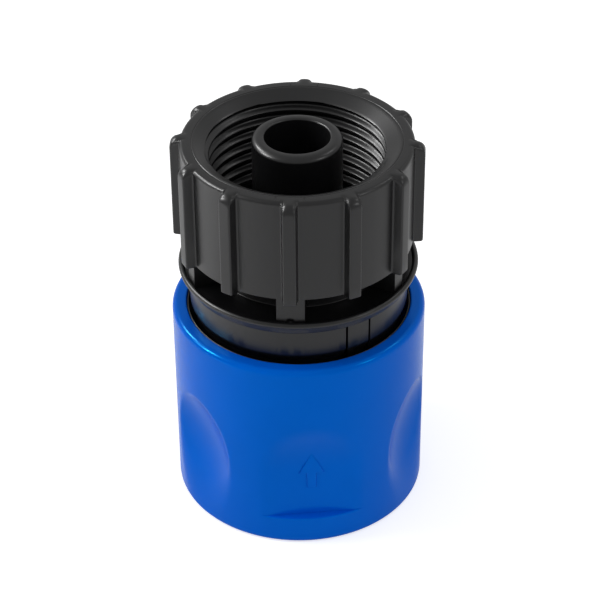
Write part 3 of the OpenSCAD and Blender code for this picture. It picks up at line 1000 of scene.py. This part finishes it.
def add_arrow(shell, azimuth):
    floor = SLEEVE_R - ARCH_DEPTH
    layers = [(0.0, -ARROW_SUNK), (0.0, ARROW_PROUD - ARROW_BEVEL),
              (ARROW_BEVEL * BEVEL_MIDDLE, ARROW_PROUD - ARROW_BEVEL * BEVEL_MIDDLE),
              (ARROW_BEVEL, ARROW_PROUD)]
    loops = []
    for inset, out in layers:
        outline = arrow_outline(inset)
        loops.append(shell.ring([facing(x, floor + out, ARROW_FOOT_Z + z, azimuth) for x, z in outline]))
    shell.rows(loops)
    for loop in (loops[0], loops[-1]):
        shell.faces.append(tuple(loop[i] for i in (0, 1, 2, 6)))
        shell.faces.append(tuple(loop[i] for i in (6, 2, 3, 4, 5)))


# %% [markdown]
# The sleeve's outside has 420 points in a ring, for clean edges at the scoops, and its inside has
# 120. The shell stitches them together at the top and at the foot.

# %% Join the sleeve
def make_sleeve():
    shell = Shell()
    outside = sleeve_outside(shell)
    inside = sleeve_inside(shell)
    shell.rows(outside)
    shell.rows(inside)
    shell.sew(outside[-1], inside[0])
    shell.sew(inside[-1], outside[0])
    for azimuth in (0, 180):
        add_arrow(shell, azimuth)
    mesh = shell.mesh("release_sleeve")
    piece = place_piece("release_sleeve", mesh, "sleeve", ["sleeve"])
    even_normals(piece)
    return piece


sleeve = make_sleeve()

# %% [markdown]
# The ring is pressed into the sleeve's top. Only its thin edge shows, a dark line between the blue
# lip and the skirt. Its foot catches on the hooks of the snap tabs and stops the sleeve.

# %% Ring in the sleeve's top
RING_EDGE_T = 0.27
RING_SEAT = 0.05
RING_FOOT_H = 1.1
RING_BEVEL = 0.1
RING_COLUMNS = 180


def make_ring():
    edge_r = SLEEVE_MOUTH_R - RING_SEAT
    inner_r = edge_r - RING_EDGE_T
    low, foot_top = ring_low.z, ring_low.z + RING_FOOT_H
    path = [(RING_FOOT_R, low + RING_BEVEL), (RING_FOOT_R + RING_BEVEL, low)]
    path += [(ring_high.x - RING_BEVEL, low), (ring_high.x, low + RING_BEVEL)]
    path += [(ring_high.x, foot_top), (edge_r, foot_top)]
    path += arc(edge_r - RING_EDGE_T / 2, ring_high.z - RING_EDGE_T / 2, RING_EDGE_T / 2, 0, 180, 6)
    path += [(inner_r, foot_top), (RING_FOOT_R, foot_top - 0.05)]
    shell = Shell()
    rings = shell.turn(path, even_turns(RING_COLUMNS))
    shell.rows(rings + rings[:1])
    return place_piece("stop_ring", shell.mesh("stop_ring"), "sleeve", ["sleeve_ring"])


stop_ring = make_ring()

# %% [markdown]
# Four claws hold the plug. Each is a small acetal block with the sleeve's cone on its back and a
# sloped nose that lets the plug push in. Its faces are turned round the connector's axis and its
# ends are flat, so it is an outline carried sideways, with the ends drawn in for a soft edge.

# %% Claws
CLAW_TIP_R = 8.0
CLAW_TIP_H = 1.6
CLAW_FOOT_W = 0.3
WEDGE_GAP = 0.3
CLAW_EDGE = 0.15
CLAW_THICK = 2.0
CLAW_SLICES = 9
CLAW_NAMES = ["claw_front", "claw_right", "claw_back", "claw_left"]


def claw_outline(inset):
    """Radii and heights of the claw's outline, with each corner cut by a small edge."""
    low, high = claw_low.z, claw_high.z
    back_low = SLIDE_R + WEDGE_SLOPE * (CONE_TOP - low) - WEDGE_GAP
    back_high = SLIDE_R + WEDGE_SLOPE * (CONE_TOP - high) - WEDGE_GAP
    corners = [(CLAW_TIP_R, high - CLAW_TIP_H), (PLUG_R + CLAW_FOOT_W, low), (back_low, low),
               (back_high, high), (CLAW_TIP_R, high)]
    count = len(corners)
    middle = (sum(r for r, _ in corners) / count, sum(z for _, z in corners) / count)
    points = []
    for i, (r, z) in enumerate(corners):
        for k in (i - 1, (i + 1) % count):
            toward = corners[k]
            share = CLAW_EDGE / math.hypot(toward[0] - r, toward[1] - z)
            points.append((r + (toward[0] - r) * share, z + (toward[1] - z) * share))
    shrink = 1 - inset / CLAW_THICK
    return [(middle[0] + (r - middle[0]) * shrink, middle[1] + (z - middle[1]) * shrink)
            for r, z in points]


def make_claw(name, azimuth):
    shell = Shell()
    inner_end = CLAW_HALF - CLAW_EDGE
    slices = [(x, 0.0) for x in np.linspace(-inner_end, inner_end, CLAW_SLICES)]
    slices = [(-CLAW_HALF, CLAW_EDGE)] + slices + [(CLAW_HALF, CLAW_EDGE)]
    loops = []
    for x, inset in slices:
        outline = claw_outline(inset)
        loops.append(shell.ring([facing(x, math.sqrt(r * r - x * x), z, azimuth) for r, z in outline]))
    shell.rows(loops)
    shell.faces += [tuple(loops[0]), tuple(loops[-1])]
    piece_name = name.replace("claw", "locking_claw")
    return place_piece(piece_name, shell.mesh(name), name, [name])


claws = [make_claw(name, quarter) for name, quarter in zip(CLAW_NAMES, QUARTERS)]

# %% [markdown]
# The spring pushes the sleeve back over the claws. It is wound from round wire with a closed turn
# at each end, so the wire's middle follows a helix whose rise is small at the ends. In the real
# connector the coil gets shorter as the sleeve lifts. Here it is built at one length, rides on the
# moulding and rests against the pocket's roof.

# %% Spring
WIRE_R = 0.55
COIL_R = spring_high.x - WIRE_R
COIL_TURNS = 7
COIL_STEPS = 48
COIL_START = 90
CLOSED_TURN = 1.03
WIRE_SIDES = 14


def coil_height(turn, low, high):
    """Height of the wire's middle after a number of turns."""
    closed = 2 * WIRE_R * CLOSED_TURN
    middle = (high - low - 2 * closed) / (COIL_TURNS - 2)
    if turn < 1:
        return low + closed * turn
    if turn > COIL_TURNS - 1:
        return high - closed * (COIL_TURNS - turn)
    return low + closed + middle * (turn - 1)


def make_spring():
    shell = Shell()
    low, high = spring_low.z + WIRE_R, spring_high.z - WIRE_R
    round_wire = arc(0, 0, WIRE_R, 0, 360, WIRE_SIDES)[:-1]
    loops = []
    for i in range(COIL_TURNS * COIL_STEPS + 1):
        turn = i / COIL_STEPS
        azimuth = COIL_START + 360 * turn
        height = coil_height(turn, low, high)
        loops.append(shell.ring([tuple(on_circle(COIL_R + r, azimuth, height + z)) for r, z in round_wire]))
    shell.rows(loops)
    shell.faces += [tuple(loops[0]), tuple(loops[-1])]
    piece = place_piece("return_spring", shell.mesh("return_spring"), "body", ["spring"])
    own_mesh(piece)
    return piece


spring = make_spring()

# %% [markdown]
# Colours are written as the sRGB hex values that a colour picker shows, and one function turns
# them into the linear values that the renderer works with. One more function adds a shader node
# with its settings and links, so that each material below reads as a short recipe.

# %% Colour and node helpers
def linear(hex_colour):
    """An sRGB hex colour as linear RGBA."""
    values = [int(hex_colour[i:i + 2], 16) / 255 for i in (1, 3, 5)]
    return [v / 12.92 if v <= 0.04045 else ((v + 0.055) / 1.055) ** 2.4 for v in values] + [1.0]


def add_node(tree, kind, inputs=None, **settings):
    """Adds a node. Settings are its properties, and inputs are values or other nodes' outputs."""
    made = tree.nodes.new(kind)
    for name, value in settings.items():
        setattr(made, name, value)
    for name, value in (inputs or {}).items():
        if isinstance(value, bpy.types.NodeSocket):
            tree.links.new(value, made.inputs[name])
        else:
            made.inputs[name].default_value = value
    return made


def new_material(name):
    """An empty node material and its output node."""
    material = bpy.data.materials.new(name)
    material.use_nodes = True
    material.node_tree.nodes.clear()
    output = material.node_tree.nodes.new("ShaderNodeOutputMaterial")
    return material, material.node_tree, output


def per_mm(size):
    """Noise scale for a feature of this size in millimetres, in an object measured in metres."""
    return 1 / (size * MM)


print("mid grey #808080 is", round(linear("#808080")[0], 3), "in linear light")

# %% [markdown]
# The moulding is black polypropylene, filled with carbon black and moulded in a fine-blasted
# tool. To the eye it is a very dark grey, softly shiny, with a faint cloudiness where the melt
# flowed and a fine grain that breaks up its reflections. The blasting grit is about 0.1 mm, finer
# than a pixel here, so the grain is drawn at 0.25 mm to show at all. Its roughness stays above
# 0.3, because a smoother skirt would mirror the blue sleeve.

# %% Moulded black polypropylene
GRAIN_MM = 0.25
GRAIN_HEIGHT = 0.03 * MM
FLOW_MM = 7.0
POLYPROPYLENE_IOR = 1.49
CARBON_DARK = "#09090a"
CARBON_LIGHT = "#0d0d0f"


def black_polypropylene():
    material, tree, output = new_material("moulded_black_polypropylene")
    place = add_node(tree, "ShaderNodeTexCoord").outputs["Object"]
    flow = add_node(tree, "ShaderNodeTexNoise", {
        "Vector": place, "Scale": per_mm(FLOW_MM), "Detail": 3.0, "Roughness": 0.55})
    grain = add_node(tree, "ShaderNodeTexNoise", {
        "Vector": place, "Scale": per_mm(GRAIN_MM), "Detail": 2.0, "Roughness": 0.6})
    colour = add_node(tree, "ShaderNodeMix", {
        "Factor": flow.outputs["Fac"], "A": linear(CARBON_DARK), "B": linear(CARBON_LIGHT)},
        data_type="RGBA")
    rough = add_node(tree, "ShaderNodeMapRange", {
        "Value": flow.outputs["Fac"], "From Min": 0.3, "From Max": 0.7, "To Min": 0.31, "To Max": 0.35})
    bump = add_node(tree, "ShaderNodeBump", {
        "Height": grain.outputs["Fac"], "Strength": 0.12, "Distance": GRAIN_HEIGHT})
    shader = add_node(tree, "ShaderNodeBsdfPrincipled", {
        "Base Color": colour.outputs["Result"], "Roughness": rough.outputs["Result"],
        "IOR": POLYPROPYLENE_IOR, "Normal": bump.outputs["Normal"]})
    tree.links.new(shader.outputs["BSDF"], output.inputs["Surface"])
    return material


black = black_polypropylene()
print("made", black.name)

# %% [markdown]
# The sleeve is blue polypropylene from a polished tool. Pigment gives it a deep, even blue with
# hardly any red in it, and the surface is smoother than the black part. A plain white gloss would
# wash that blue out at the sides, where the floor is mirrored. So the white gloss is set low, and
# a second gloss, tinted dark cyan by the pigment, adds the bright cyan lines along the edges.

# %% Moulded blue polypropylene
PIGMENT_DEEP = "#0058cc"
PIGMENT_BRIGHT = "#005dd4"
PIGMENT_SHEEN = "#40a8ff"
PIGMENT_GLINT = "#002c3c"


def blue_polypropylene():
    material, tree, output = new_material("moulded_blue_polypropylene")
    place = add_node(tree, "ShaderNodeTexCoord").outputs["Object"]
    flow = add_node(tree, "ShaderNodeTexNoise", {
        "Vector": place, "Scale": per_mm(FLOW_MM), "Detail": 2.0, "Roughness": 0.5})
    grain = add_node(tree, "ShaderNodeTexNoise", {
        "Vector": place, "Scale": per_mm(GRAIN_MM), "Detail": 2.0, "Roughness": 0.6})
    colour = add_node(tree, "ShaderNodeMix", {
        "Factor": flow.outputs["Fac"], "A": linear(PIGMENT_DEEP), "B": linear(PIGMENT_BRIGHT)},
        data_type="RGBA")
    rough = add_node(tree, "ShaderNodeMapRange", {
        "Value": flow.outputs["Fac"], "From Min": 0.3, "From Max": 0.7, "To Min": 0.2, "To Max": 0.26})
    bump = add_node(tree, "ShaderNodeBump", {
        "Height": grain.outputs["Fac"], "Strength": 0.06, "Distance": GRAIN_HEIGHT})
    shader = add_node(tree, "ShaderNodeBsdfPrincipled", {
        "Base Color": colour.outputs["Result"], "Roughness": rough.outputs["Result"],
        "IOR": POLYPROPYLENE_IOR, "Specular IOR Level": 0.08, "Specular Tint": linear(PIGMENT_SHEEN),
        "Normal": bump.outputs["Normal"]})
    gloss = add_node(tree, "ShaderNodeBsdfGlossy", {"Color": linear(PIGMENT_GLINT), "Roughness": 0.16})
    both = add_node(tree, "ShaderNodeAddShader", {0: shader.outputs["BSDF"], 1: gloss.outputs["BSDF"]})
    tree.links.new(both.outputs["Shader"], output.inputs["Surface"])
    return material


blue = blue_polypropylene()
print("made", blue.name)

# %% [markdown]
# The claws are natural acetal, moulded without pigment: a hard, waxy, slightly see-through white.
# A little light goes into the plastic and comes out again, which softens its shadows.

# %% Moulded natural acetal
ACETAL_FLOW_MM = 1.5
ACETAL_DARK = "#d4d3cc"
ACETAL_LIGHT = "#e2e1da"


def natural_acetal():
    material, tree, output = new_material("moulded_natural_acetal")
    place = add_node(tree, "ShaderNodeTexCoord").outputs["Object"]
    flow = add_node(tree, "ShaderNodeTexNoise", {
        "Vector": place, "Scale": per_mm(ACETAL_FLOW_MM), "Detail": 3.0})
    colour = add_node(tree, "ShaderNodeMix", {
        "Factor": flow.outputs["Fac"], "A": linear(ACETAL_DARK), "B": linear(ACETAL_LIGHT)},
        data_type="RGBA")
    bump = add_node(tree, "ShaderNodeBump", {
        "Height": flow.outputs["Fac"], "Strength": 0.1, "Distance": 0.05 * MM})
    shader = add_node(tree, "ShaderNodeBsdfPrincipled", {
        "Base Color": colour.outputs["Result"], "Roughness": 0.35, "IOR": 1.48,
        "Subsurface Weight": 0.3, "Subsurface Scale": 0.4 * MM, "Normal": bump.outputs["Normal"]})
    tree.links.new(shader.outputs["BSDF"], output.inputs["Surface"])
    return material


acetal = natural_acetal()
print("made", acetal.name)

# %% [markdown]
# The spring is stainless wire. It was drawn through a die, which leaves fine lines along it and a
# soft grey shine. The lines are a noise that is squeezed along the axis, at 0.6 mm so that they
# show at all.

# %% Drawn stainless wire
DRAW_LINES_MM = 0.6
DRAW_SQUEEZE = (1, 1, 6)


def drawn_stainless():
    material, tree, output = new_material("drawn_stainless_wire")
    place = add_node(tree, "ShaderNodeTexCoord").outputs["Object"]
    stretch = add_node(tree, "ShaderNodeMapping", {"Vector": place, "Scale": DRAW_SQUEEZE})
    lines = add_node(tree, "ShaderNodeTexNoise", {
        "Vector": stretch.outputs["Vector"], "Scale": per_mm(DRAW_LINES_MM), "Detail": 2.0})
    rough = add_node(tree, "ShaderNodeMapRange", {
        "Value": lines.outputs["Fac"], "To Min": 0.2, "To Max": 0.38})
    bump = add_node(tree, "ShaderNodeBump", {
        "Height": lines.outputs["Fac"], "Strength": 0.15, "Distance": 0.02 * MM})
    shader = add_node(tree, "ShaderNodeBsdfPrincipled", {
        "Base Color": linear("#b9b8b4"), "Metallic": 1.0, "Roughness": rough.outputs["Result"],
        "Normal": bump.outputs["Normal"]})
    tree.links.new(shader.outputs["BSDF"], output.inputs["Surface"])
    return material


steel = drawn_stainless()
print("made", steel.name)

# %% [markdown]
# Each piece is one moulding or one length of wire, so it gets a single material.

# %% Give each piece its material
finishes = [(black, [moulding, stop_ring]), (blue, [sleeve]), (acetal, claws), (steel, [spring])]
for material, pieces in finishes:
    for piece in pieces:
        piece.data.materials.append(material)
        print(piece.name, "is", material.name)

# %% [markdown]
# The connector stands on a plain white paper sweep. In the photograph that paper is pure white,
# and the light that it throws back is what models the sleeve's lower half. A lamp strong enough to
# make the paper white would wash out the object. So the paper glows a little for the camera alone,
# and less in reflections. From below it is clear, to leave the connector's underside in view.

# %% Floor
FLOOR_SIZE = 3.0
FLOOR_GAP = 0.05 * MM
FLOOR_GLOW = 0.6
FLOOR_SHINE = 0.32
PAPER_WHITE = "#e6e6e6"
WHITE = (1, 1, 1, 1)


def white_paper():
    material, tree, output = new_material("white_paper_sweep")
    ray = add_node(tree, "ShaderNodeLightPath")
    shine = add_node(tree, "ShaderNodeMath", {0: ray.outputs["Is Glossy Ray"], 1: FLOOR_SHINE},
                     operation="MULTIPLY")
    level = add_node(tree, "ShaderNodeMath", {
        0: ray.outputs["Is Camera Ray"], 1: FLOOR_GLOW, 2: shine.outputs["Value"]},
        operation="MULTIPLY_ADD")
    paper = add_node(tree, "ShaderNodeBsdfDiffuse", {"Color": linear(PAPER_WHITE)})
    glow = add_node(tree, "ShaderNodeEmission", {"Color": WHITE, "Strength": level.outputs["Value"]})
    lit = add_node(tree, "ShaderNodeAddShader", {0: paper.outputs["BSDF"], 1: glow.outputs["Emission"]})
    side = add_node(tree, "ShaderNodeNewGeometry")
    clear = add_node(tree, "ShaderNodeBsdfTransparent")
    sheet = add_node(tree, "ShaderNodeMixShader", {
        0: side.outputs["Backfacing"], 1: lit.outputs["Shader"], 2: clear.outputs["BSDF"]})
    tree.links.new(sheet.outputs["Shader"], output.inputs["Surface"])
    return material


def make_floor():
    mesh = bpy.data.meshes.new("floor")
    half = FLOOR_SIZE / 2
    square = ((-half, -half), (half, -half), (half, half), (-half, half))
    mesh.from_pydata([(x, y, -FLOOR_GAP) for x, y in square], [], [(0, 1, 2, 3)])
    mesh.materials.append(white_paper())
    floor = bpy.data.objects.new("floor", mesh)
    bpy.context.scene.collection.objects.link(floor)
    return floor


floor = make_floor()
print("floor is", floor.data.materials[0].name)

# %% [markdown]
# The world is white: a product on a light table is lit from everywhere, and what the plastic
# reflects is mostly that white. It lights the object at a plain level, and only the camera sees it
# as full white.

# %% World
WORLD_STRENGTH = 0.56


def make_world():
    world = bpy.data.worlds.new("white_surround")
    bpy.context.scene.world = world
    world.use_nodes = True
    tree = world.node_tree
    tree.nodes.clear()
    ray = add_node(tree, "ShaderNodeLightPath")
    seen = add_node(tree, "ShaderNodeMath", {
        0: ray.outputs["Is Camera Ray"], 1: ray.outputs["Is Transmission Ray"]}, operation="MAXIMUM")
    level = add_node(tree, "ShaderNodeMapRange", {
        "Value": seen.outputs["Value"], "To Min": WORLD_STRENGTH, "To Max": 1.0})
    sky = add_node(tree, "ShaderNodeBackground", {"Color": WHITE, "Strength": level.outputs["Result"]})
    add_node(tree, "ShaderNodeOutputWorld", {"Surface": sky.outputs["Background"]})
    return world


print("world is", make_world().name)

# %% [markdown]
# A soft box on the left gives the connector its brighter side and a weak one on the right fills
# in. The three glints are small boxes that only show in what is shiny: they draw the fine bright
# lines along the ribs, the lips and the thread, and add no light to the colours. A lamp over the
# paper on the left brightens the floor there, which lights the sleeve from below.

# %% Lights
LIGHT_DISTANCE = 0.5
# Name, azimuth from the camera's, elevation, size in metres, watts, and whether it is a glint
SOFT_LIGHTS = [
    ("soft_left", -93, 38, 0.18, 0.8, False),
    ("glint_left", -90, 38, 0.06, 0.7, True),
    ("glint_left_back", -124, 40, 0.1, 1.0, True),
    ("soft_right", 62, 36, 0.1, 0.2, False),
    ("glint_right_back", 115, 50, 0.08, 0.12, True),
]
FLOOR_LAMP_AZIMUTH = CAMERA_AZIMUTH - 80
FLOOR_LAMP_OUT = 0.2
FLOOR_LAMP_HEIGHT = 0.25
FLOOR_LAMP_SIZE = 0.12
FLOOR_LAMP_POWER = 0.13
FLOOR_LAMP_SPREAD = 60


def area_light(name, size, power):
    data = bpy.data.lights.new(name, "AREA")
    data.shape = "SQUARE"
    data.size = size
    data.energy = power
    light = bpy.data.objects.new(name, data)
    bpy.context.scene.collection.objects.link(light)
    return light


def soft_light(name, azimuth, elevation, size, power, glint):
    """A square soft box that faces the connector. A glint only shows in what is shiny."""
    light = area_light(name, size, power)
    light.visible_diffuse = not glint
    rise = math.radians(elevation)
    place = on_circle(LIGHT_DISTANCE * math.cos(rise), azimuth, LIGHT_DISTANCE * math.sin(rise))
    aim = (Vector((0, 0, CAMERA_PIVOT_Z)) - place).to_track_quat("-Z", "Y")
    light.matrix_world = Matrix.Translation(place) @ aim.to_matrix().to_4x4()
    print(f"{name}: {power} W, {size} m wide")


def floor_lamp():
    """A lamp that looks straight down on the paper, beside the connector."""
    lamp = area_light("floor_lamp", FLOOR_LAMP_SIZE, FLOOR_LAMP_POWER)
    lamp.data.spread = math.radians(FLOOR_LAMP_SPREAD)
    lamp.location = on_circle(FLOOR_LAMP_OUT, FLOOR_LAMP_AZIMUTH, FLOOR_LAMP_HEIGHT)


for name, azimuth, elevation, size, power, glint in SOFT_LIGHTS:
    soft_light(name, CAMERA_AZIMUTH + azimuth, elevation, size, power, glint)
floor_lamp()
bpy.context.scene.view_settings.view_transform = "Standard"
